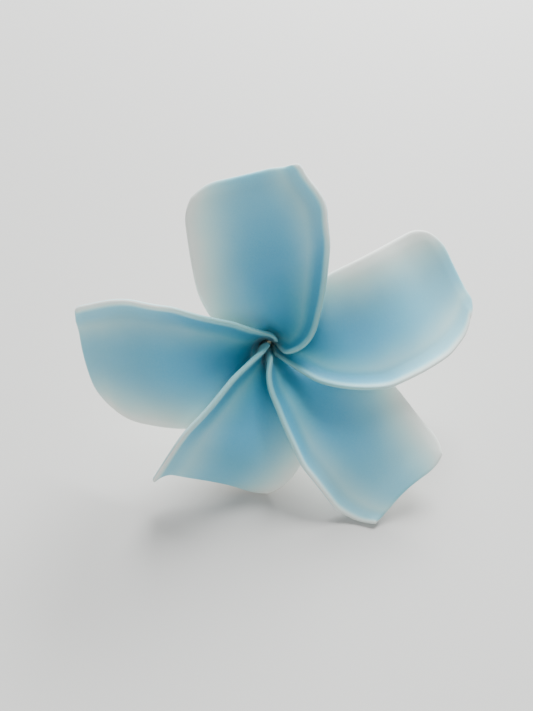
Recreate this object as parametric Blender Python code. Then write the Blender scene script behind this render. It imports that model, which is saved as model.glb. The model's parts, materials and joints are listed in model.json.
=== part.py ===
"""A frangipani flower head of craft foam: five moulded petals, glued by their feet into a pinwheel.

Metres, +Z up. The head lies on the squashed rim of its glue and on the ends of its two lower petals,
facing -Y and up. The origin lies on the surface that it rests on, under the middle of its bounding
box.
"""
import math

import bmesh
import bpy
from mathutils import Vector

MM = 0.001

# ---- the foam sheet --------------------------------------------------------------------
FOAM = 1.7 * MM              # thickness of a petal
EDGE_SHARE = 0.6             # its edges are pressed down to this share of that
NECK_SHARE = 0.6             # and it is pressed down to this share where the throat is narrow
EDGE_BAND = 2.6 * MM         # over this width
EYE_RADIUS = 0.9 * MM        # of the pinhole that the five lips leave in the throat

# ---- the middle line of a petal, seen from the side; the axis of the head is +Z, its face up 
FOOT_RADIUS = 4.6 * MM       # from the axis to the middle of the sheet, at the foot
FOOT_DEPTH = 23.4 * MM       # how far the foot starts below the eye of the flower
BLADE_END = 59.5 * MM        # length of the middle line, foot to end
# its slope at places along it: (millimetres from the foot, degrees above the level)
SLOPES = ((0, 89), (7, 91), (10, 104), (14, 104), (17, 80), (20, 57), (24, 50), (26, 41),
          (33.5, 30.5), (43.5, 12), (53.5, -21.5), (66.5, -8), (96.5, -8))
SLOPE_BLEND = 2.5 * MM       # the changes between those places are rounded over this length
PROFILE_STEP = 0.25 * MM

# ---- the outline of a petal ------------------------------------------------------------
FOOT_HALF = 4.4 * MM         # half width of the foot
THROAT_LIP = 8.9 * MM        # reach of the lip side at the throat
THROAT_FREE = 7.0 * MM       # reach of the free side at the throat
FOOT_TO = 6.0 * MM           # along the petal, where the foot ends
NECK_FROM = 14.0 * MM        # and where the neck has been reached
THROAT_FROM = 5.5 * MM       # along the petal, where the foot starts to widen
THROAT_TO = 19.5 * MM        # and where the throat starts to widen into the blade
THROAT_END = 28.0 * MM       # where the foam has its full thickness again
LIP_HALF = 17.1 * MM         # widest reach of the lip side
FREE_HALF = 10.9 * MM        # widest reach of the free side
BLADE_TO = 40.2 * MM         # where the blade is at its widest
TIP_DRAW_LENGTH = 14.0 * MM  # the lip side narrows by a petal's own draw over its last length
CORNER = 7.7 * MM           # rounding of the free corner
HALF_CORNER = math.sqrt(0.5)
BEAK_RISE = (0.30, 0.62)     # places across the petal where the end runs out to the beak
BEAK_FALL = (0.86, 1.10)     # and where it runs back again
END_EASE = 5                 # how late along the petal its cross lines bend to the shape of the end

# ---- the shape across a petal ----------------------------------------------------------
ROLL_RADIUS = 2.3 * MM       # of the rolled lip
ROLL_FULL = math.radians(95) # the sheet in the lip would turn this far at most
UNROLLED = ROLL_RADIUS * (ROLL_FULL - 1.0)   # the lip reaches this much further where it is flat
ROLL_PLACE = 0.5             # place across the petal where the roll starts
ROLL_FROM = 15.5 * MM       # along the petal, where the lip starts to roll
ROLL_TO = 35.5 * MM
WIND = 2.4 * MM              # rise from petal to petal: each lip lies over the next petal's free side
WIND_THROAT = 4.1 * MM       # the same in the throat, where the lips wind in to the eye
WIND_NECK = 1.8 * MM         # and where the throat is at its narrowest
NECK = 3.0 * MM              # its radius there
NECK_OUT = 8.0 * MM          # and where the wind of the throat is reached
WIND_FOOT = 2.35 * MM
ROLL_OPEN = (0.72, 1.0)      # places along the petal where the lip opens again towards its end
CUP = 1.6 * MM               # how far the sides of the blade stand above its middle line
CUP_FROM = 35.5 * MM
CUP_TO = 57.5 * MM
STRAIGHT_FROM = 7.0 * MM     # distance from the axis where cross lines are still arcs round it
STRAIGHT_TO = 18.0 * MM      # and where they have become straight
LIFT_FROM = 9.0 * MM         # distance from the axis past which a petal's own lift shows
DROOP_FROM = 24.0 * MM       # distance from the axis past which a petal's own droop shows
DROOP_TO = 40.0 * MM         # and where it has turned down by its full angle
FOOT_TURN = -20.0            # degrees clockwise at which the first foot stands; the others follow evenly
SWIRL_FROM = 4.9 * MM        # distance from the axis at which the petals' turns leave the even feet
SWIRL_FULL = 7.2 * MM        # where a petal's own swirl shows most
SWIRL_FADE = 14.0 * MM       # and where it has reached its own place

# ---- the five petals, clockwise --------------------------------------------------------
# turn: degrees clockwise from straight up the face
# lift: degrees that it is raised; droop: degrees that its end curls back
# short: how much shorter than the common length it is
# bow: degrees that it swings clockwise towards its end
# swirl: degrees that its throat is wound on clockwise
# reach: reach of its lip in the throat, and wide: its width, against the common ones
# roll: degrees that its lip turns, and open: the share of that which is left at its end
# draw: how much the lip side narrows towards the tip
# beak: how far the end of its lip stands out; tip: rounding of that end; bulge: curve of its end
PETALS = (
    dict(name="petal_top", turn=-26, lift=-8.5, droop=-47, short=0.3, bow=10.5, swirl=5, reach=1.31,
         wide=1.01, roll=85, open=0.4, draw=4.1, beak=-0.5, tip=2.3, bulge=-0.6),
    dict(name="petal_right", turn=63, lift=-12, droop=-12, short=-7.1, bow=0.5, swirl=-1, reach=0.88,
         wide=0.96, roll=71, open=0.3, draw=2.7, beak=0.5, tip=7.0, bulge=0.6),
    dict(name="petal_lower_right", turn=120, lift=1.8, droop=-37, short=-5.5, bow=12, swirl=8,
         reach=0.98, wide=0.95, roll=80, open=0.35, draw=2.0, beak=-0.2, tip=6.7, bulge=-2.6),
    dict(name="petal_lower_left", turn=179.5, lift=-6.7, droop=20, short=4.6, bow=20.5, swirl=-16,
         reach=1.09, wide=0.98, roll=95, open=0.9, draw=1.7, beak=-0.2, tip=1.2, bulge=-2.2),
    dict(name="petal_left", turn=243, lift=2, droop=21, short=-0.2, bow=20.5, swirl=-22, reach=0.98,
         wide=0.94, roll=84, open=0.8, draw=2.4, beak=0.7, tip=0.6, bulge=2.6),
)


def smooth(value, low, high):
    """0 below low, 1 above high, and an even S between."""
    t = min(max((value - low) / (high - low), 0.0), 1.0)
    return t * t * (3.0 - 2.0 * t)


def mix(a, b, t):
    return a + (b - a) * t


def slope_at(s):
    """Slope of the middle line, in radians, at the length s from the foot."""
    places = [(length * MM, math.radians(angle)) for length, angle in SLOPES]
    samples = 5
    total = 0.0
    for i in range(samples):
        x = s + SLOPE_BLEND * (2.0 * i / (samples - 1) - 1.0)
        angle = places[-1][1]
        for (s0, a0), (s1, a1) in zip(places, places[1:]):
            if x <= s1:
                angle = mix(a0, a1, max((x - s0) / (s1 - s0), 0.0))
                break
        total += angle
    return total / samples


def make_profile():
    """The middle line as rows of length, radius, height and slope, a step apart."""
    rows = []
    s = 0.0
    radius = FOOT_RADIUS
    height = -FOOT_DEPTH
    while s < SLOPES[-1][0] * MM:
        slope = slope_at(s)
        rows.append((s, radius, height, slope))
        radius += PROFILE_STEP * math.cos(slope)
        height += PROFILE_STEP * math.sin(slope)
        s += PROFILE_STEP
    return rows


PROFILE = make_profile()


def profile_radius(s):
    """Distance of the middle line from the axis at the length s."""
    place = min(max(s / PROFILE_STEP, 0.0), len(PROFILE) - 1.001)
    i = int(place)
    return mix(PROFILE[i][1], PROFILE[i + 1][1], place - i)


def profile_at(s):
    """Height and slope of the middle line at the length s."""
    place = min(max(s / PROFILE_STEP, 0.0), len(PROFILE) - 1.001)
    i = int(place)
    a = PROFILE[i]
    b = PROFILE[i + 1]
    return mix(a[2], b[2], place - i), mix(a[3], b[3], place - i)


def length_out_to(radius, s):
    """The length at which the middle line, followed out from the length s, reaches this radius."""
    reached = profile_radius(s)
    while reached < radius:
        before = reached
        s += PROFILE_STEP
        reached = profile_radius(s)
        if reached >= radius:
            s -= PROFILE_STEP * (reached - radius) / (reached - before)
    return s


def wind_at(s):
    """Rise from one petal to the next at the length s."""
    radius = profile_radius(s)
    straight = smooth(radius, STRAIGHT_FROM, STRAIGHT_TO)
    throat = mix(WIND_NECK, mix(WIND_THROAT, WIND, straight), smooth(radius, NECK, NECK_OUT))
    return mix(WIND_FOOT, throat, smooth(s, FOOT_TO, NECK_FROM))


def rounding(distance, radius):
    """How far a rounded corner draws an edge in, at this distance along it from the square corner."""
    inside = min(max(radius - distance, 0.0), radius * HALF_CORNER)
    return radius - math.sqrt(radius ** 2 - inside ** 2)


def middle_turn(number, radius):
    """Turn of the middle line of a petal at this distance from the axis, in radians clockwise."""
    petal = PETALS[number % 5]
    opened = smooth(radius, SWIRL_FROM, SWIRL_FADE)
    turn = mix(FOOT_TURN + 72.0 * (number % 5), petal["turn"], opened) + 360.0 * (number // 5)
    wound = smooth(radius, SWIRL_FROM, SWIRL_FULL) - smooth(radius, SWIRL_FULL, SWIRL_FADE)
    bow = petal["bow"] * smooth(radius, LIFT_FROM, DROOP_TO)
    return math.radians(turn + petal["swirl"] * wound + bow)


def turn_at_place(place, radius):
    """Turn at this place among the middle lines of all the petals, which are at whole numbers."""
    low = math.floor(place)
    return mix(middle_turn(low, radius), middle_turn(low + 1, radius), place - low)


def half_widths(s, number):
    """Reach of the sheet from its middle line at the length s: to its lip and to its free edge."""
    petal = PETALS[number]
    throat = smooth(s, THROAT_FROM, THROAT_TO)
    blade = smooth(s, THROAT_TO, BLADE_TO)
    to_end = BLADE_END - petal["short"] * MM - s
    radius = profile_radius(s)
    eye = number + (radius - EYE_RADIUS) / wind_at(s)
    to_eye = radius * (turn_at_place(eye, radius) - middle_turn(number, radius)) - UNROLLED
    lip = mix(FOOT_HALF, min(THROAT_LIP * petal["reach"], to_eye), throat)
    lip = mix(lip, LIP_HALF * petal["wide"], blade)
    free = mix(mix(FOOT_HALF, THROAT_FREE, throat), FREE_HALF * petal["wide"], blade)
    lip -= petal["draw"] * MM * smooth(-to_end, -TIP_DRAW_LENGTH, 0.0)
    lip -= rounding(to_end, petal["tip"] * MM)
    free -= rounding(to_end, CORNER)
    return lip, free


def end_at(across, number):
    """Length at which the blade ends, at the place across it: -1 free edge, 1 edge of the lip."""
    petal = PETALS[number]
    end = BLADE_END - petal["short"] * MM
    lip, free = half_widths(end, number)
    from_free = (across + 1.0) / 2.0 * (lip + free)
    from_lip = (1.0 - across) / (1.0 - ROLL_PLACE) * ROLL_RADIUS * ROLL_FULL
    tip = petal["tip"] * MM
    end -= rounding(from_free + CORNER * (1.0 - HALF_CORNER), CORNER)
    end -= rounding(from_lip + tip * (1.0 - HALF_CORNER), tip)
    end += petal["beak"] * MM * (smooth(across, *BEAK_RISE) - smooth(across, *BEAK_FALL))
    return end + petal["bulge"] * MM * (1.0 - across ** 2)


def place_on_spiral(number, radius, angle):
    """Where a point of this petal lies among the middle lines of all, which are at whole numbers."""
    own = middle_turn(number, radius)
    low = number if angle >= 0.0 else number - 1
    while middle_turn(low + 1, radius) < own + angle:
        low += 1
    while middle_turn(low, radius) > own + angle:
        low -= 1
    start = middle_turn(low, radius)
    return low + (own + angle - start) / (middle_turn(low + 1, radius) - start)


def blended(key, place):
    """A petal's own value, run smoothly over into the next petal's, so that the sheets stay clear."""
    low = math.floor(place)
    return mix(PETALS[low % 5][key], PETALS[(low + 1) % 5][key], smooth(place - low, 0.0, 1.0))


def length_at(number, along, across):
    """Length from the foot of a point on the sheet: its last cross lines bend to the blade's end."""
    full = BLADE_END - PETALS[number]["short"] * MM
    return along * full + (end_at(across, number) - full) * along ** END_EASE


def share_of_thickness(number, along, across):
    """How thick the foam is at a point, against its full thickness: pressed thin at the edges."""
    s = length_at(number, along, across)
    lip_half, free_half = half_widths(s, number)
    level = lip_half - ROLL_RADIUS + free_half
    from_free = (across + 1.0) / (ROLL_PLACE + 1.0) * level
    from_lip = (1.0 - across) / (1.0 - ROLL_PLACE) * ROLL_RADIUS * ROLL_FULL
    from_end = length_at(number, 1.0, across) - s
    inside = min(max(min(from_free, from_lip, from_end) / EDGE_BAND, 0.0), 1.0)
    neck = smooth(s, FOOT_TO, NECK_FROM) * (1.0 - smooth(s, THROAT_TO, THROAT_END))
    return mix(1.0, NECK_SHARE, neck) * mix(EDGE_SHARE, 1.0, math.sqrt(1.0 - (1.0 - inside) ** 2))


def petal_point(number, along, across):
    """A point in the middle of the sheet.

    along runs from 0 at the foot to 1 at the end, and across from -1 at the free edge to 1 at the lip.
    """
    petal = PETALS[number]
    s = length_at(number, along, across)
    lip_half, free_half = half_widths(s, number)

    # across the sheet: level as far as the lip, then round it
    edge = lip_half - ROLL_RADIUS
    if across <= ROLL_PLACE:
        x = mix(-free_half, edge, (across + 1.0) / (ROLL_PLACE + 1.0))
        up = 0.0
    else:
        t = (across - ROLL_PLACE) / (1.0 - ROLL_PLACE)
        roll = smooth(s, ROLL_FROM, ROLL_TO) * mix(1.0, petal["open"], smooth(along, *ROLL_OPEN))
        turn = max(math.radians(petal["roll"]) * roll, 0.02)
        radius = ROLL_RADIUS * ROLL_FULL / turn
        x = edge + radius * math.sin(turn * t)
        up = radius * (1.0 - math.cos(turn * t))

    # round the axis: arcs in the throat, straight lines across the blade
    radius = profile_radius(s)
    straight = smooth(radius, STRAIGHT_FROM, STRAIGHT_TO)
    angle = mix(x / radius, math.atan2(x, radius), straight)
    radius *= mix(1.0, 1.0 / math.cos(math.atan2(x, radius)), straight)
    height, slope = profile_at(length_out_to(radius, s))

    # lift and droop, run over from petal to petal
    place = place_on_spiral(number, radius, angle)
    lift = math.radians(blended("lift", place))
    height += math.tan(lift) * max(radius - LIFT_FROM, 0.0) * smooth(radius, LIFT_FROM, 2.0 * LIFT_FROM)
    droop = max(radius - DROOP_FROM, 0.0) / (DROOP_TO - DROOP_FROM)
    bend = math.radians(blended("droop", place))
    height -= bend * droop ** 2 * (DROOP_TO - DROOP_FROM) / 2.0
    slope += lift - bend * droop

    # off the middle line, along the sheet's own normal
    up += wind_at(s) * (place - number)
    up += CUP * smooth(s, CUP_FROM, CUP_TO) * (x / LIP_HALF) ** 2
    azimuth = math.pi / 2.0 - middle_turn(number, radius) - angle
    height += up * math.cos(slope)
    radius -= up * math.sin(slope)
    return radius * math.cos(azimuth), radius * math.sin(azimuth), height


# ---- building --------------------------------------------------------------------------
ATTITUDE = (48.2, 4.8, 4.5)  # degrees round X, Y and Z that the resting head is turned from axis up
FACETS_ALONG = 28
FACETS_ACROSS = 20
PLUG_CORE = 1.1 * MM         # radius of the glue between the feet
PLUG_TOP = 7.0 * MM          # how far it reaches up between them
PLUG_PAD = 6.9 * MM          # radius of the pad of glue over their ends
PLUG_PAD_THICK = 1.5 * MM
PLUG_ROUND = 0.6 * MM        # rounding of the pad's rim
PLUG_GAP = 0.6 * MM          # clearance between the glue and the feet
PLUG_SIDES = 40
FOAM_COLOUR = (0.30, 0.58, 0.68, 1.0)
GLUE_COLOUR = (0.85, 0.83, 0.76, 1.0)


def make_material(name, colour, roughness):
    material = bpy.data.materials.new(name)
    material.use_nodes = True
    shader = material.node_tree.nodes["Principled BSDF"]
    shader.inputs["Base Color"].default_value = colour
    shader.inputs["Roughness"].default_value = roughness
    shader.inputs["Metallic"].default_value = 0.0
    return material


def make_object(name, form, material, parent):
    """Turn a bmesh into a named, smooth-shaded object that hangs under the parent."""
    mesh = bpy.data.meshes.new(name)
    form.to_mesh(mesh)
    form.free()
    mesh.materials.append(material)
    mesh.shade_smooth()
    piece = bpy.data.objects.new(name, mesh)
    piece.parent = parent
    bpy.context.scene.collection.objects.link(piece)
    return piece


def make_petal(number, parent):
    """One moulded petal: a sheet of small triangles, given its thickness evenly on both sides."""
    name = PETALS[number]["name"]
    form = bmesh.new()
    bmesh.ops.create_grid(form, x_segments=FACETS_ACROSS, y_segments=FACETS_ALONG, size=1.0)
    shares = form.verts.layers.deform.verify()
    for vertex in form.verts:
        along = (vertex.co.y + 1.0) / 2.0
        across = vertex.co.x
        vertex[shares][0] = share_of_thickness(number, along, across)
        vertex.co = petal_point(number, along, across)
    bmesh.ops.triangulate(form, faces=form.faces, quad_method="SHORT_EDGE")
    material = make_material(name + "_foam", FOAM_COLOUR, 0.85)
    piece = make_object(name, form, material, parent)
    piece.vertex_groups.new(name="share_of_thickness")
    sheet = piece.modifiers.new("foam", "SOLIDIFY")
    sheet.thickness = FOAM
    sheet.vertex_group = "share_of_thickness"
    sheet.offset = 0.0
    sheet.use_even_offset = True
    return piece


def make_plug(parent, ground):
    """The set glue: a core between the feet and a pad over their ends, flat where the head rests."""
    pad_top = -FOOT_DEPTH - PLUG_GAP
    pad_end = pad_top - PLUG_PAD_THICK
    core_top = -FOOT_DEPTH + PLUG_TOP
    outline = [
        (0.0, pad_end),
        (PLUG_PAD - PLUG_ROUND, pad_end),
        (PLUG_PAD, pad_end + PLUG_ROUND),
        (PLUG_PAD, pad_top - PLUG_ROUND / 2.0),
        (PLUG_PAD - PLUG_ROUND / 2.0, pad_top),
        (PLUG_CORE, pad_top),
        (PLUG_CORE, core_top - PLUG_ROUND),
        (PLUG_CORE - PLUG_ROUND, core_top),
        (0.0, core_top),
    ]
    form = bmesh.new()
    corners = [form.verts.new((radius, 0.0, height)) for radius, height in outline]
    edges = [form.edges.new(pair) for pair in zip(corners, corners[1:])]
    bmesh.ops.spin(form, geom=corners + edges, cent=(0, 0, 0), axis=(0, 0, 1), angle=math.tau,
                   steps=PLUG_SIDES, use_merge=True)
    bmesh.ops.remove_doubles(form, verts=form.verts, dist=0.00001)
    bmesh.ops.recalc_face_normals(form, faces=form.faces)
    point, down = ground
    cut = bmesh.ops.bisect_plane(form, geom=form.verts[:] + form.edges[:] + form.faces[:],
                                 plane_co=point, plane_no=down, clear_outer=True)
    rim = [item for item in cut["geom_cut"] if isinstance(item, bmesh.types.BMEdge)]
    bmesh.ops.contextual_create(form, geom=rim)
    bmesh.ops.recalc_face_normals(form, faces=form.faces)
    piece = make_object("glue_plug", form, make_material("set_glue", GLUE_COLOUR, 0.4), parent)
    piece.data.set_sharp_from_angle(angle=math.radians(40))
    return piece


def lowest_and_middle(pieces):
    """The height of the lowest point of each piece, and the middle of the box round them all."""
    bpy.context.view_layer.update()
    graph = bpy.context.evaluated_depsgraph_get()
    lows = []
    points = []
    for piece in pieces:
        shaped = piece.evaluated_get(graph)
        mesh = shaped.to_mesh()
        places = [piece.matrix_world @ vertex.co for vertex in mesh.vertices]
        shaped.to_mesh_clear()
        lows.append(min(place.z for place in places))
        points += places
    middle = Vector((0.0, 0.0, 0.0))
    for i in range(2):
        middle[i] = (min(place[i] for place in points) + max(place[i] for place in points)) / 2.0
    return lows, middle


def main():
    for thing in list(bpy.data.objects):
        bpy.data.objects.remove(thing)
    head = bpy.data.objects.new("head_axis", None)
    bpy.context.scene.collection.objects.link(head)
    head.rotation_euler = [math.radians(angle) for angle in ATTITUDE]
    petals = [make_petal(number, head) for number in range(len(PETALS))]

    lows, middle = lowest_and_middle(petals)
    head.location.z = -min(lows)
    bpy.context.view_layer.update()
    to_head = head.matrix_world.inverted()
    ground_point = to_head @ Vector((0.0, 0.0, 0.0))
    ground_down = to_head.to_3x3() @ Vector((0.0, 0.0, -1.0))
    plug = make_plug(head, (ground_point, ground_down))
    lows, middle = lowest_and_middle(petals + [plug])
    head.location.x = -middle.x
    head.location.y = -middle.y


main()
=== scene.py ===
"""Foam frangipani flower: the finished petals and glue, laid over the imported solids.

The head is a pinwheel of five heat-formed craft foam petals, airbrushed blue over white.
"""
import json
import math

import bmesh
import bpy
from mathutils import Euler, Matrix, Vector


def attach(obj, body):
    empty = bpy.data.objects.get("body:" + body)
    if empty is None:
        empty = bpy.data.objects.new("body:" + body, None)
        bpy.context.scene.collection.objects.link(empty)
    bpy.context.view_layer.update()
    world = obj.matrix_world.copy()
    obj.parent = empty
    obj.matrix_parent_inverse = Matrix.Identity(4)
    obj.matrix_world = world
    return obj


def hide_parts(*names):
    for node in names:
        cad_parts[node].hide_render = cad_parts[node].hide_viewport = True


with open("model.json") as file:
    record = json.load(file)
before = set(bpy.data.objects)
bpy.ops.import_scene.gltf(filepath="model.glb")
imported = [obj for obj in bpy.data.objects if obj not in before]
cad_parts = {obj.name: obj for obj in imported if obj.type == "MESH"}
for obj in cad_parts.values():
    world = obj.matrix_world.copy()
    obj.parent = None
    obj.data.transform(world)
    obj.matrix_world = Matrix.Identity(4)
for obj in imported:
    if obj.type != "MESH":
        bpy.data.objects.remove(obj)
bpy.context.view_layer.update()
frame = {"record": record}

MM = 0.001

# ---- the foam sheet --------------------------------------------------------------------
FOAM = 1.7 * MM              # thickness of a petal
NECK_SHARE = 0.6             # and it is pressed down to this share where the throat is narrow
EYE_RADIUS = 0.9 * MM        # of the pinhole that the five lips leave in the throat

# ---- the middle line of a petal, seen from the side; the axis of the head is +Z, its face up 
FOOT_RADIUS = 4.6 * MM       # from the axis to the middle of the sheet, at the foot
FOOT_DEPTH = 23.4 * MM       # how far the foot starts below the eye of the flower
BLADE_END = 59.5 * MM        # length of the middle line, foot to end
# its slope at places along it: (millimetres from the foot, degrees above the level)
SLOPES = ((0, 89), (7, 91), (10, 104), (14, 104), (17, 80), (20, 57), (24, 50), (26, 41),
          (33.5, 30.5), (43.5, 12), (53.5, -21.5), (66.5, -8), (96.5, -8))
SLOPE_BLEND = 2.5 * MM       # the changes between those places are rounded over this length
PROFILE_STEP = 0.25 * MM

# ---- the outline of a petal ------------------------------------------------------------
FOOT_HALF = 4.4 * MM         # half width of the foot
THROAT_LIP = 8.9 * MM        # reach of the lip side at the throat
THROAT_FREE = 7.0 * MM       # reach of the free side at the throat
FOOT_TO = 6.0 * MM           # along the petal, where the foot ends
NECK_FROM = 14.0 * MM        # and where the neck has been reached
THROAT_FROM = 5.5 * MM       # along the petal, where the foot starts to widen
THROAT_TO = 19.5 * MM        # and where the throat starts to widen into the blade
THROAT_END = 28.0 * MM       # where the foam has its full thickness again
LIP_HALF = 17.1 * MM         # widest reach of the lip side
FREE_HALF = 10.9 * MM        # widest reach of the free side
BLADE_TO = 40.2 * MM         # where the blade is at its widest
TIP_DRAW_LENGTH = 14.0 * MM  # the lip side narrows by a petal's own draw over its last length
CORNER = 7.7 * MM            # rounding of the free corner
HALF_CORNER = math.sqrt(0.5)
BEAK_RISE = (0.30, 0.62)     # places across the petal where the end runs out to the beak
BEAK_FALL = (0.86, 1.10)     # and where it runs back again
END_EASE = 5                 # how late along the petal its cross lines bend to the shape of the end

# ---- the shape across a petal ----------------------------------------------------------
ROLL_RADIUS = 2.3 * MM       # of the rolled lip
ROLL_FULL = math.radians(95) # the sheet in the lip would turn this far at most
UNROLLED = ROLL_RADIUS * (ROLL_FULL - 1.0)   # the lip reaches this much further where it is flat
ROLL_PLACE = 0.5             # place across the petal where the roll starts
ROLL_FROM = 15.5 * MM        # along the petal, where the lip starts to roll
ROLL_TO = 35.5 * MM          # and where it has rolled fully
WIND = 2.4 * MM              # rise from petal to petal: each lip lies over the next petal's free side
WIND_THROAT = 4.1 * MM       # the same in the throat, where the lips wind in to the eye
WIND_NECK = 1.8 * MM         # and where the throat is at its narrowest
NECK = 3.0 * MM              # radius of the throat there
NECK_OUT = 8.0 * MM          # and where the wind of the throat is reached
WIND_FOOT = 2.35 * MM        # rise from petal to petal among the feet
ROLL_OPEN = (0.72, 1.0)      # places along the petal where the lip opens again towards its end
CUP = 1.6 * MM               # how far the sides of the blade stand above its middle line
CUP_FROM = 35.5 * MM         # along the petal, where they start to rise
CUP_TO = 57.5 * MM           # and where they stand that high
STRAIGHT_FROM = 7.0 * MM     # distance from the axis where cross lines are still arcs round it
STRAIGHT_TO = 18.0 * MM      # and where they have become straight
LIFT_FROM = 9.0 * MM         # distance from the axis past which a petal's own lift shows
DROOP_FROM = 24.0 * MM       # distance from the axis past which a petal's own droop shows
DROOP_TO = 40.0 * MM         # and where it has turned down by its full angle
FOOT_TURN = -20.0            # degrees clockwise at which the first foot stands; the others follow evenly
SWIRL_FROM = 4.9 * MM        # distance from the axis at which the petals' turns leave the even feet
SWIRL_FULL = 7.2 * MM        # where a petal's own swirl shows most
SWIRL_FADE = 14.0 * MM       # and where it has reached its own place

# ---- the five petals, clockwise --------------------------------------------------------
# turn: degrees clockwise from straight up the face
# lift: degrees that it is raised; droop: degrees that its end curls back
# short: how much shorter than the common length it is
# bow: degrees that it swings clockwise towards its end
# swirl: degrees that its throat is wound on clockwise
# reach: reach of its lip in the throat, and wide: its width, against the common ones
# roll: degrees that its lip turns, and open: the share of that which is left at its end
# draw: how much the lip side narrows towards the tip
# beak: how far the end of its lip stands out; tip: rounding of that end; bulge: curve of its end
PETALS = (
    dict(name="petal_top", turn=-26, lift=-8.5, droop=-47, short=0.3, bow=10.5, swirl=5, reach=1.31,
         wide=1.01, roll=85, open=0.4, draw=4.1, beak=-0.5, tip=2.3, bulge=-0.6),
    dict(name="petal_right", turn=63, lift=-12, droop=-12, short=-7.1, bow=0.5, swirl=-1, reach=0.88,
         wide=0.96, roll=71, open=0.3, draw=2.7, beak=0.5, tip=7.0, bulge=0.6),
    dict(name="petal_lower_right", turn=120, lift=1.8, droop=-37, short=-5.5, bow=12, swirl=8,
         reach=0.98, wide=0.95, roll=80, open=0.35, draw=2.0, beak=-0.2, tip=6.7, bulge=-2.6),
    dict(name="petal_lower_left", turn=179.5, lift=-6.7, droop=20, short=4.6, bow=20.5, swirl=-16,
         reach=1.09, wide=0.98, roll=95, open=0.9, draw=1.7, beak=-0.2, tip=1.2, bulge=-2.2),
    dict(name="petal_left", turn=243, lift=2, droop=21, short=-0.2, bow=20.5, swirl=-22, reach=0.98,
         wide=0.94, roll=84, open=0.8, draw=2.4, beak=0.7, tip=0.6, bulge=2.6),
)


def smooth(value, low, high):
    """0 below low, 1 above high, and an even S between."""
    t = min(max((value - low) / (high - low), 0.0), 1.0)
    return t * t * (3.0 - 2.0 * t)


def mix(a, b, t):
    return a + (b - a) * t


def slope_at(s):
    """Slope of the middle line, in radians, at the length s from the foot."""
    places = [(length * MM, math.radians(angle)) for length, angle in SLOPES]
    samples = 5
    total = 0.0
    for i in range(samples):
        x = s + SLOPE_BLEND * (2.0 * i / (samples - 1) - 1.0)
        angle = places[-1][1]
        for (s0, a0), (s1, a1) in zip(places, places[1:]):
            if x <= s1:
                angle = mix(a0, a1, max((x - s0) / (s1 - s0), 0.0))
                break
        total += angle
    return total / samples


def make_profile():
    """The middle line as rows of length, radius, height and slope, a step apart."""
    rows = []
    s = 0.0
    radius = FOOT_RADIUS
    height = -FOOT_DEPTH
    while s < SLOPES[-1][0] * MM:
        slope = slope_at(s)
        rows.append((s, radius, height, slope))
        radius += PROFILE_STEP * math.cos(slope)
        height += PROFILE_STEP * math.sin(slope)
        s += PROFILE_STEP
    return rows


PROFILE = make_profile()


def profile_radius(s):
    """Distance of the middle line from the axis at the length s."""
    place = min(max(s / PROFILE_STEP, 0.0), len(PROFILE) - 1.001)
    i = int(place)
    return mix(PROFILE[i][1], PROFILE[i + 1][1], place - i)


def profile_at(s):
    """Height and slope of the middle line at the length s."""
    place = min(max(s / PROFILE_STEP, 0.0), len(PROFILE) - 1.001)
    i = int(place)
    a = PROFILE[i]
    b = PROFILE[i + 1]
    return mix(a[2], b[2], place - i), mix(a[3], b[3], place - i)


def length_out_to(radius, s):
    """The length at which the middle line, followed out from the length s, reaches this radius."""
    reached = profile_radius(s)
    while reached < radius:
        before = reached
        s += PROFILE_STEP
        reached = profile_radius(s)
        if reached >= radius:
            s -= PROFILE_STEP * (reached - radius) / (reached - before)
    return s


def wind_at(s):
    """Rise from one petal to the next at the length s."""
    radius = profile_radius(s)
    straight = smooth(radius, STRAIGHT_FROM, STRAIGHT_TO)
    throat = mix(WIND_NECK, mix(WIND_THROAT, WIND, straight), smooth(radius, NECK, NECK_OUT))
    return mix(WIND_FOOT, throat, smooth(s, FOOT_TO, NECK_FROM))


def rounding(distance, radius):
    """How far a rounded corner draws an edge in, at this distance along it from the square corner."""
    inside = min(max(radius - distance, 0.0), radius * HALF_CORNER)
    return radius - math.sqrt(radius ** 2 - inside ** 2)


def middle_turn(number, radius):
    """Turn of the middle line of a petal at this distance from the axis, in radians clockwise."""
    petal = PETALS[number % 5]
    opened = smooth(radius, SWIRL_FROM, SWIRL_FADE)
    turn = mix(FOOT_TURN + 72.0 * (number % 5), petal["turn"], opened) + 360.0 * (number // 5)
    wound = smooth(radius, SWIRL_FROM, SWIRL_FULL) - smooth(radius, SWIRL_FULL, SWIRL_FADE)
    bow = petal["bow"] * smooth(radius, LIFT_FROM, DROOP_TO)
    return math.radians(turn + petal["swirl"] * wound + bow)


def turn_at_place(place, radius):
    """Turn at this place among the middle lines of all the petals, which are at whole numbers."""
    low = math.floor(place)
    return mix(middle_turn(low, radius), middle_turn(low + 1, radius), place - low)


def half_widths(s, number):
    """Reach of the sheet from its middle line at the length s: to its lip and to its free edge."""
    petal = PETALS[number]
    throat = smooth(s, THROAT_FROM, THROAT_TO)
    blade = smooth(s, THROAT_TO, BLADE_TO)
    to_end = BLADE_END - petal["short"] * MM - s
    radius = profile_radius(s)
    eye = number + (radius - EYE_RADIUS) / wind_at(s)
    to_eye = radius * (turn_at_place(eye, radius) - middle_turn(number, radius)) - UNROLLED
    lip = mix(FOOT_HALF, min(THROAT_LIP * petal["reach"], to_eye), throat)
    lip = mix(lip, LIP_HALF * petal["wide"], blade)
    free = mix(mix(FOOT_HALF, THROAT_FREE, throat), FREE_HALF * petal["wide"], blade)
    lip -= petal["draw"] * MM * smooth(-to_end, -TIP_DRAW_LENGTH, 0.0)
    lip -= rounding(to_end, petal["tip"] * MM)
    free -= rounding(to_end, CORNER)
    return lip, free


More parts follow.
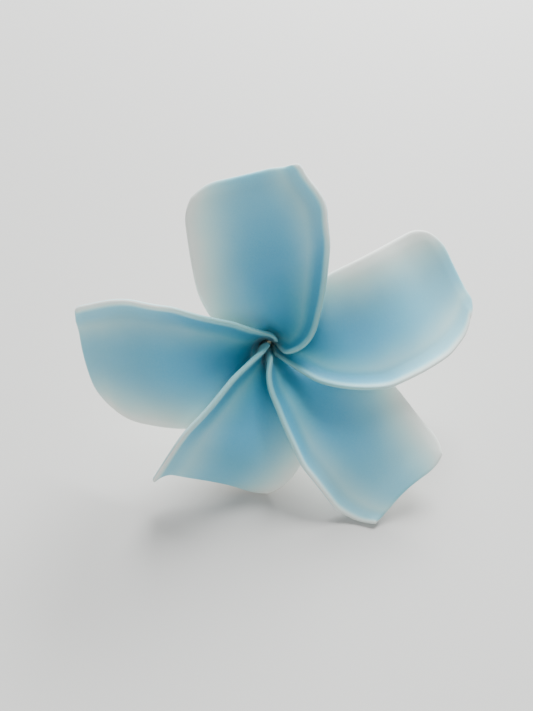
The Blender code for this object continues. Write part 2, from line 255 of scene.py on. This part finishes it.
def end_at(across, number):
    """Length at which the blade ends, at the place across it: -1 free edge, 1 edge of the lip."""
    petal = PETALS[number]
    end = BLADE_END - petal["short"] * MM
    lip, free = half_widths(end, number)
    from_free = (across + 1.0) / 2.0 * (lip + free)
    from_lip = (1.0 - across) / (1.0 - ROLL_PLACE) * ROLL_RADIUS * ROLL_FULL
    tip = petal["tip"] * MM
    end -= rounding(from_free + CORNER * (1.0 - HALF_CORNER), CORNER)
    end -= rounding(from_lip + tip * (1.0 - HALF_CORNER), tip)
    end += petal["beak"] * MM * (smooth(across, *BEAK_RISE) - smooth(across, *BEAK_FALL))
    return end + petal["bulge"] * MM * (1.0 - across ** 2)


def place_on_spiral(number, radius, angle):
    """Where a point of this petal lies among the middle lines of all, which are at whole numbers."""
    own = middle_turn(number, radius)
    low = number if angle >= 0.0 else number - 1
    while middle_turn(low + 1, radius) < own + angle:
        low += 1
    while middle_turn(low, radius) > own + angle:
        low -= 1
    start = middle_turn(low, radius)
    return low + (own + angle - start) / (middle_turn(low + 1, radius) - start)


def blended(key, place):
    """A petal's own value, run smoothly over into the next petal's, so that the sheets stay clear."""
    low = math.floor(place)
    return mix(PETALS[low % 5][key], PETALS[(low + 1) % 5][key], smooth(place - low, 0.0, 1.0))


def length_at(number, along, across):
    """Length from the foot of a point on the sheet: its last cross lines bend to the blade's end."""
    full = BLADE_END - PETALS[number]["short"] * MM
    return along * full + (end_at(across, number) - full) * along ** END_EASE


def petal_point(number, along, across):
    """A point in the middle of the sheet.

    along runs from 0 at the foot to 1 at the end, and across from -1 at the free edge to 1 at the lip.
    """
    petal = PETALS[number]
    s = length_at(number, along, across)
    lip_half, free_half = half_widths(s, number)

    # across the sheet: level as far as the lip, then round it
    edge = lip_half - ROLL_RADIUS
    if across <= ROLL_PLACE:
        x = mix(-free_half, edge, (across + 1.0) / (ROLL_PLACE + 1.0))
        up = 0.0
    else:
        t = (across - ROLL_PLACE) / (1.0 - ROLL_PLACE)
        roll = smooth(s, ROLL_FROM, ROLL_TO) * mix(1.0, petal["open"], smooth(along, *ROLL_OPEN))
        turn = max(math.radians(petal["roll"]) * roll, 0.02)
        radius = ROLL_RADIUS * ROLL_FULL / turn
        x = edge + radius * math.sin(turn * t)
        up = radius * (1.0 - math.cos(turn * t))

    # round the axis: arcs in the throat, straight lines across the blade
    radius = profile_radius(s)
    straight = smooth(radius, STRAIGHT_FROM, STRAIGHT_TO)
    angle = mix(x / radius, math.atan2(x, radius), straight)
    radius *= mix(1.0, 1.0 / math.cos(math.atan2(x, radius)), straight)
    height, slope = profile_at(length_out_to(radius, s))

    # lift and droop, run over from petal to petal
    place = place_on_spiral(number, radius, angle)
    lift = math.radians(blended("lift", place))
    height += math.tan(lift) * max(radius - LIFT_FROM, 0.0) * smooth(radius, LIFT_FROM, 2.0 * LIFT_FROM)
    droop = max(radius - DROOP_FROM, 0.0) / (DROOP_TO - DROOP_FROM)
    bend = math.radians(blended("droop", place))
    height -= bend * droop ** 2 * (DROOP_TO - DROOP_FROM) / 2.0
    slope += lift - bend * droop

    # off the middle line, along the sheet's own normal
    up += wind_at(s) * (place - number)
    up += CUP * smooth(s, CUP_FROM, CUP_TO) * (x / LIP_HALF) ** 2
    azimuth = math.pi / 2.0 - middle_turn(number, radius) - angle
    height += up * math.cos(slope)
    radius -= up * math.sin(slope)
    return radius * math.cos(azimuth), radius * math.sin(azimuth), height


# ---- where the head lies ----------------------------------------------------------------
ATTITUDE = (48.2, 4.8, 4.5)  # degrees round X, Y and Z that the resting head is turned from axis up
GLUE_BACK_DEPTH = 25.5 * MM  # how far the flat back of the glue lies below the eye of the flower

# ---- fineness and rims of the finished petals ---------------------------------------------
ROWS_ALONG = 110             # faces of the sheet from foot to end
ROWS_ACROSS = 72             # and from edge to edge
CROWD_ACROSS = 0.25          # how much closer together the rows lie towards the edges
CROWD_ALONG = 0.5            # and towards the end
RIM_ROUND = 0.9 * MM         # width over which the faces round off into the rim
RIM_SHARE = 0.30             # thickness left at the very rim, against the sheet beside it
EDGE_SHARE = 0.70            # thickness of the sheet beside the rim, against the sheet inside
EDGE_BAND = 3.0 * MM         # width over which the sheet thins towards its rims

# ---- view ---------------------------------------------------------------------------------
VIEW_ELEVATION = math.radians(52.0)
VIEW_DISTANCE = 123.9 * MM   # from the camera to the eye of the flower, along the view
VIEW_RIGHT = 1.66 * MM       # how far the eye lies right of the middle of the view
VIEW_UP = 1.68 * MM          # and above it
LENS = 36.07                 # focal length of the camera, in millimetres
SENSOR = 36.0                # and the width of its sensor

# ---- foam, paint and glue -----------------------------------------------------------------
WHITE_FOAM = (0.88, 0.92, 0.85)      # the skin of the sheet, bare
CUT_FOAM = (0.91, 0.91, 0.84)        # its cut rim, bare
BLUE_COAT = (0.21, 0.60, 0.83)       # what one full coat leaves of red, green and blue light
TEAL_COAT = (0.32, 0.62, 0.66)
GLUE_CLEAR = (0.78, 0.76, 0.68, 1.0)
GLUE_CLOUDED = (0.70, 0.66, 0.55, 1.0)
CELLS_PER_METRE = 5200.0             # fineness of the foam's closed cells
SKIN_PER_METRE = 1100.0              # and of the soft unevenness of its skin
DROPLETS_PER_METRE = 7000.0          # fineness of the spray
DRIFT_PER_METRE = 90.0               # how closely the edge of the sprayed band wanders
DRIFT_REACH = 0.16                   # and how far, in places across the petal

# places across the petal, -1 at the free edge and 1 at the lip
BAND_FREE_SIDE = (-1.05, -0.05)      # the blue band fades in between these
BAND_LIP_SIDE = (0.62, 0.05)         # and out again, from the second to the first
BAND_ON_LIP = 0.30                   # share of the band that goes on over the lip
THROAT_SIDE = (-0.60, 0.30)          # the teal of the throat fades in between these

# lengths from the foot between which a coat changes, and how many coats there are at each of the two
BAND_STRETCH = (34.0 * MM, 62.0 * MM)        # the blue band thins towards the end
BAND_COATS = (1.48, 0.80)
THROAT_STRETCH = (39.0 * MM, 25.0 * MM)      # the teal comes in towards the throat
NECK_STRETCH = (15.0 * MM, 27.5 * MM)        # little spray reaches down into the neck
NECK_COATS = (0.45, 1.0)
LIP_SPRAY_AND_SHADE_STRETCH = (32.0 * MM, 45.0 * MM)    # a darker blue line in the hollow of the lip: partly the spray's cyan, partly painted shade of that hollow
LIP_SPRAY_AND_SHADE_COATS = (0.95, 0.42)
LIP_EDGE_STRETCH = (33.0 * MM, 44.0 * MM)    # the very edge of the lip is barer along the blade
LIP_EDGE_COATS = (0.9, 0.35)
BACK_THROAT_STRETCH = (40.0 * MM, 26.0 * MM)
BACK_THROAT_COATS = 1.1
BACK_NECK_STRETCH = (18.0 * MM, 25.0 * MM)
BACK_LIP_COATS = 0.30
RIM_STRETCH = (44.0 * MM, 29.0 * MM)
RIM_COATS = 0.06                             # overspray that the cut rim has everywhere

# distances from the edge of the lip
LIP_SPRAY_AND_SHADE_INSIDE = (5.2 * MM, 2.6 * MM)       # the line fades in between these
LIP_SPRAY_AND_SHADE_OUTSIDE = (0.3 * MM, 1.6 * MM)      # and out again, from the second to the first
LIP_EDGE = 1.2 * MM                          # the paint thins out to the edge over this width
BACK_LIP = (10.0 * MM, 3.0 * MM)             # overspray on the back of the lip fades in
BACK_THROAT = (12.0 * MM, 4.0 * MM)          # and so does the teal behind the throat


def head_matrix():
    """Turns and moves a head that stands axis up at the origin to where it lies."""
    back = next(mount for mount in frame["record"]["mounts"] if mount["name"] == "glue_back")
    turn = Euler([math.radians(angle) for angle in ATTITUDE], "XYZ").to_matrix().to_4x4()
    eye = Vector(back["pos_m"]) + turn @ Vector((0.0, 0.0, GLUE_BACK_DEPTH))
    return Matrix.Translation(eye) @ turn


HEAD = head_matrix()


# ---- finishes -----------------------------------------------------------------------------
class Finish:
    """A few short ways to add and join shader nodes in one material."""

    def __init__(self, name):
        self.material = bpy.data.materials.new(name)
        self.material.use_nodes = True
        self.tree = self.material.node_tree
        self.shader = self.tree.nodes["Principled BSDF"]
        self.shader.inputs["Metallic"].default_value = 0.0

    def node(self, kind, **settings):
        made = self.tree.nodes.new(kind)
        for key, value in settings.items():
            setattr(made, key, value)
        return made

    def join(self, source, target):
        self.tree.links.new(source, target)

    def feed(self, target, value):
        """Join an output to the socket, or set it to a number or colour."""
        if isinstance(value, bpy.types.NodeSocket):
            self.join(value, target)
        else:
            target.default_value = value

    def reading(self, name):
        """A value measured on the petal and kept on its points."""
        return self.node("ShaderNodeAttribute", attribute_name=name).outputs["Fac"]

    def maths(self, operation, a, b):
        made = self.node("ShaderNodeMath", operation=operation)
        self.feed(made.inputs[0], a)
        self.feed(made.inputs[1], b)
        return made.outputs[0]

    def product(self, first, *others):
        """All the values multiplied together."""
        for value in others:
            first = self.maths("MULTIPLY", first, value)
        return first

    def ramp(self, value, low, high, out_low=0.0, out_high=1.0):
        """out_low below low, out_high above high, and an even S between."""
        made = self.node("ShaderNodeMapRange", interpolation_type="SMOOTHSTEP")
        for socket, setting in zip(made.inputs, (value, low, high, out_low, out_high)):
            self.feed(socket, setting)
        return made.outputs["Result"]

    def blend(self, factor, a, b):
        """Colour a where the factor is 0, colour b where it is 1."""
        made = self.node("ShaderNodeMix", data_type="RGBA", clamp_factor=True)
        self.feed(made.inputs["Factor"], factor)
        colours = [socket for socket in made.inputs if socket.type == "RGBA"]
        self.feed(colours[0], a)
        self.feed(colours[1], b)
        return [socket for socket in made.outputs if socket.type == "RGBA"][0]

    def noise(self, scale, detail=2.0, roughness=0.5):
        """Noise fixed in the object; scale is its grains per metre."""
        place = self.node("ShaderNodeTexCoord").outputs["Object"]
        made = self.node("ShaderNodeTexNoise")
        self.join(place, made.inputs["Vector"])
        made.inputs["Scale"].default_value = scale
        made.inputs["Detail"].default_value = detail
        made.inputs["Roughness"].default_value = roughness
        return made.outputs["Fac"]

    def bump(self, height, distance, strength, before=None):
        """Small relief from a height of 0 to 1, on top of the relief before it."""
        made = self.node("ShaderNodeBump")
        made.inputs["Distance"].default_value = distance
        made.inputs["Strength"].default_value = strength
        self.join(height, made.inputs["Height"])
        if before is not None:
            self.join(before, made.inputs["Normal"])
        return made.outputs["Normal"]


def foam_body(finish):
    """What every cut of the foam shares: fine closed cells, a dull skin and a little light let through."""
    cells = finish.noise(CELLS_PER_METRE, 2.0, 0.6)
    skin = finish.noise(SKIN_PER_METRE, 3.0, 0.5)
    normal = finish.bump(cells, 0.02 * MM, 0.4)
    normal = finish.bump(skin, 0.04 * MM, 0.25, normal)
    finish.join(normal, finish.shader.inputs["Normal"])
    rough = finish.ramp(skin, 0.3, 0.7, 0.55, 0.66)
    finish.join(rough, finish.shader.inputs["Roughness"])
    finish.shader.inputs["Specular IOR Level"].default_value = 0.35
    finish.shader.inputs["Sheen Weight"].default_value = 0.10
    finish.shader.inputs["Sheen Roughness"].default_value = 0.45
    finish.shader.inputs["Subsurface Weight"].default_value = 0.40
    finish.shader.inputs["Subsurface Radius"].default_value = (1.0, 1.0, 1.0)
    finish.shader.inputs["Subsurface Scale"].default_value = 2.2 * MM


def coats_on_face(finish):
    """Coats of blue and of teal over the face: a wide soft blue band up the petal, teal in the throat."""
    across = finish.reading("across")
    from_foot = finish.reading("from_foot")
    from_lip = finish.reading("from_lip")
    drift = finish.maths("SUBTRACT", finish.noise(DRIFT_PER_METRE), 0.5)
    place = finish.maths("ADD", across, finish.maths("MULTIPLY", drift, DRIFT_REACH))
    band = finish.product(
        finish.ramp(place, *BAND_FREE_SIDE),
        finish.ramp(place, *BAND_LIP_SIDE, BAND_ON_LIP, 1.0),
        finish.ramp(from_foot, *BAND_STRETCH, *BAND_COATS))
    throat = finish.product(
        finish.ramp(from_foot, *THROAT_STRETCH),
        finish.ramp(place, *THROAT_SIDE))
    # the line in the hollow of the rolled lip: part spray, part painted shade of the hollow
    line = finish.product(
        finish.ramp(from_lip, *LIP_SPRAY_AND_SHADE_INSIDE),
        finish.ramp(from_lip, *LIP_SPRAY_AND_SHADE_OUTSIDE),
        finish.ramp(from_foot, *LIP_SPRAY_AND_SHADE_STRETCH, *LIP_SPRAY_AND_SHADE_COATS))
    at_edge = finish.ramp(from_foot, *LIP_EDGE_STRETCH, *LIP_EDGE_COATS)
    reach = finish.product(
        finish.ramp(from_lip, 0.0, LIP_EDGE, at_edge, 1.0),
        finish.ramp(from_foot, *NECK_STRETCH, *NECK_COATS),
        finish.ramp(finish.noise(DROPLETS_PER_METRE, 1.0), 0.35, 0.65, 0.93, 1.05))
    blue = finish.product(finish.maths("ADD", band, line), reach)
    return blue, finish.product(throat, reach)


def coats_on_back(finish):
    """Overspray round the rolled lip and in the throat; the rest of the back is bare."""
    from_foot = finish.reading("from_foot")
    from_lip = finish.reading("from_lip")
    lip = finish.product(finish.ramp(from_lip, *BACK_LIP), BACK_LIP_COATS)
    throat = finish.product(
        finish.ramp(from_foot, *BACK_THROAT_STRETCH),
        finish.ramp(from_lip, *BACK_THROAT),
        finish.ramp(from_foot, *BACK_NECK_STRETCH),
        BACK_THROAT_COATS)
    return lip, throat


def coats_on_rim(finish):
    """The cut rim: bare foam along the blade, caught by the overspray near the throat."""
    return RIM_COATS, finish.ramp(finish.reading("from_foot"), *RIM_STRETCH)


def coated(finish, bare, coats):
    """The colour of the foam through so many coats of blue and of teal."""
    blue, teal = coats
    mixed = finish.node("ShaderNodeCombineColor")
    for socket, foam, through_blue, through_teal in zip(mixed.inputs, bare, BLUE_COAT, TEAL_COAT):
        left = finish.product(
            finish.maths("POWER", through_blue, blue),
            finish.maths("POWER", through_teal, teal),
            foam)
        finish.join(left, socket)
    return mixed.outputs["Color"]


def coated_foam(name, bare, coats):
    """Foam of this bare colour under the coats that the function lays on it."""
    finish = Finish(name)
    foam_body(finish)
    finish.join(coated(finish, bare, coats(finish)), finish.shader.inputs["Base Color"])
    return finish.material


def set_glue(name):
    """Hot-melt glue that has set cloudy, with a soft uneven skin."""
    finish = Finish(name)
    cloud = finish.noise(420.0, 3.0)
    finish.join(finish.blend(cloud, GLUE_CLEAR, GLUE_CLOUDED), finish.shader.inputs["Base Color"])
    finish.join(finish.bump(finish.noise(240.0, 3.0), 0.3 * MM, 0.6), finish.shader.inputs["Normal"])
    finish.join(finish.ramp(cloud, 0.3, 0.7, 0.25, 0.45), finish.shader.inputs["Roughness"])
    finish.shader.inputs["Subsurface Weight"].default_value = 0.4
    finish.shader.inputs["Subsurface Radius"].default_value = (1.0, 0.9, 0.7)
    finish.shader.inputs["Subsurface Scale"].default_value = 2.0 * MM
    return finish.material


# ---- petals -------------------------------------------------------------------------------
def distances(number, along, across):
    """How far a point of the sheet lies from its foot, its free edge, its lip and its end."""
    s = length_at(number, along, across)
    lip_half, free_half = half_widths(s, number)
    level = lip_half - ROLL_RADIUS + free_half
    from_free = (across + 1.0) / (ROLL_PLACE + 1.0) * level
    roll = ROLL_RADIUS * ROLL_FULL
    if across > ROLL_PLACE:
        from_lip = (1.0 - across) / (1.0 - ROLL_PLACE) * roll
    else:
        from_lip = roll + (ROLL_PLACE - across) / (ROLL_PLACE + 1.0) * level
    return s, from_free, from_lip, length_at(number, 1.0, across) - s


def rounded(distance, width):
    """0 at an edge and 1 past the width, rising as a quarter round does."""
    inside = min(max(distance / width, 0.0), 1.0)
    return math.sqrt(1.0 - (1.0 - inside) ** 2)


def share_of_thickness(number, along, across):
    """Thickness of the foam here against its full thickness: pressed thin and rounded at the rims."""
    s, from_free, from_lip, from_end = distances(number, along, across)
    near = min(from_free, from_lip, from_end)
    neck = smooth(s, FOOT_TO, NECK_FROM) * (1.0 - smooth(s, THROAT_TO, THROAT_END))
    share = mix(1.0, NECK_SHARE, neck) * mix(EDGE_SHARE, 1.0, smooth(near, 0.0, EDGE_BAND))
    return share * mix(RIM_SHARE, 1.0, rounded(near, RIM_ROUND))


def make_petal(number, face, back, edge):
    """One finished petal: the middle of its sheet, given its thickness and rounded rims."""
    name = PETALS[number]["name"]
    form = bmesh.new()
    bmesh.ops.create_grid(form, x_segments=ROWS_ACROSS, y_segments=ROWS_ALONG, size=1.0)
    shares = form.verts.layers.deform.verify()
    readings = [form.verts.layers.float.new(key) for key in ("across", "from_foot", "from_lip")]
    for vertex in form.verts:
        along = (vertex.co.y + 1.0) / 2.0
        along += CROWD_ALONG * along * (1.0 - along)
        across = vertex.co.x
        across += CROWD_ACROSS * across * (1.0 - across ** 2)
        from_foot, _, from_lip, _ = distances(number, along, across)
        for layer, value in zip(readings, (across, from_foot, from_lip)):
            vertex[layer] = value
        vertex[shares][0] = share_of_thickness(number, along, across)
        vertex.co = HEAD @ Vector(petal_point(number, along, across))
    mesh = bpy.data.meshes.new(name + "_foam")
    form.to_mesh(mesh)
    form.free()
    for material in (face, back, edge):
        mesh.materials.append(material)
    mesh.shade_smooth()
    piece = bpy.data.objects.new(name + "_foam", mesh)
    piece.vertex_groups.new(name="share_of_thickness")
    bpy.context.scene.collection.objects.link(piece)
    sheet = piece.modifiers.new("foam", "SOLIDIFY")
    sheet.thickness = FOAM
    sheet.vertex_group = "share_of_thickness"
    sheet.offset = 0.0
    sheet.use_even_offset = True
    sheet.material_offset = 1
    sheet.material_offset_rim = 2
    fine = piece.modifiers.new("softened", "SUBSURF")
    fine.levels = 1
    fine.render_levels = 1
    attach(piece, "root")
    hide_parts(name)


def make_flower():
    """The five finished petals, and a finish on the glue, which keeps its own solid."""
    face = coated_foam("sprayed_foam", WHITE_FOAM, coats_on_face)
    back = coated_foam("foam_back", WHITE_FOAM, coats_on_back)
    edge = coated_foam("cut_foam_rim", CUT_FOAM, coats_on_rim)
    for number in range(len(PETALS)):
        make_petal(number, face, back, edge)
    bpy.data.objects["glue_plug"].material_slots[0].material = set_glue("set_glue_cloudy")


# ---- floor, light and camera ----------------------------------------------------------------
FLOOR_HALF = 1.5                     # metres, as are the places and sizes of the lights
FLOOR_COLOUR = (0.62, 0.61, 0.59, 1.0)
LIT_HEIGHT = 20.0 * MM               # the lights are turned to the flower at this height
ROOM_COLOUR = (0.9, 0.94, 1.0, 1.0)
ROOM_STRENGTH = 0.40


def make_floor():
    form = bmesh.new()
    bmesh.ops.create_grid(form, x_segments=1, y_segments=1, size=FLOOR_HALF)
    mesh = bpy.data.meshes.new("floor")
    form.to_mesh(mesh)
    form.free()
    floor = bpy.data.objects.new("floor", mesh)
    bpy.context.scene.collection.objects.link(floor)
    finish = Finish("pale_floor")
    finish.shader.inputs["Base Color"].default_value = FLOOR_COLOUR
    finish.shader.inputs["Roughness"].default_value = 0.7
    floor.data.materials.append(finish.material)


def soft_light(name, place, size, power, tint):
    """A square soft box at the place, turned to the flower."""
    lamp = bpy.data.lights.new(name, "AREA")
    lamp.shape = "SQUARE"
    lamp.size = size
    lamp.energy = power
    lamp.color = tint
    holder = bpy.data.objects.new(name, lamp)
    holder.location = place
    aim = Vector((0.0, 0.0, LIT_HEIGHT)) - Vector(place)
    holder.rotation_euler = aim.to_track_quat("-Z", "Y").to_euler()
    bpy.context.scene.collection.objects.link(holder)


def make_light():
    """A tall window behind the flower, and the room's own light in front of it."""
    soft_light("window", (0.32, 1.0, 0.95), 0.8, 66.0, (0.98, 1.0, 1.0))
    soft_light("room", (-0.3, -0.9, 0.9), 1.2, 5.0, (1.0, 0.99, 0.92))
    world = bpy.data.worlds.new("studio")
    world.use_nodes = True
    background = world.node_tree.nodes["Background"]
    background.inputs["Color"].default_value = ROOM_COLOUR
    background.inputs["Strength"].default_value = ROOM_STRENGTH
    bpy.context.scene.world = world


def make_camera():
    """Looks down on the flower from close by, level from side to side."""
    right = Vector((1.0, 0.0, 0.0))
    up = Vector((0.0, math.sin(VIEW_ELEVATION), math.cos(VIEW_ELEVATION)))
    back = right.cross(up)
    lens = bpy.data.cameras.new("camera")
    lens.sensor_fit = "HORIZONTAL"
    lens.sensor_width = SENSOR
    lens.lens = LENS
    lens.clip_start = 5.0 * MM
    lens.clip_end = 10.0
    camera = bpy.data.objects.new("camera", lens)
    place = HEAD.translation - VIEW_RIGHT * right - VIEW_UP * up + VIEW_DISTANCE * back
    camera.matrix_world = Matrix.Translation(place) @ Matrix((right, up, back)).transposed().to_4x4()
    bpy.context.scene.collection.objects.link(camera)
    bpy.context.scene.camera = camera


make_flower()
make_floor()
make_light()
make_camera()
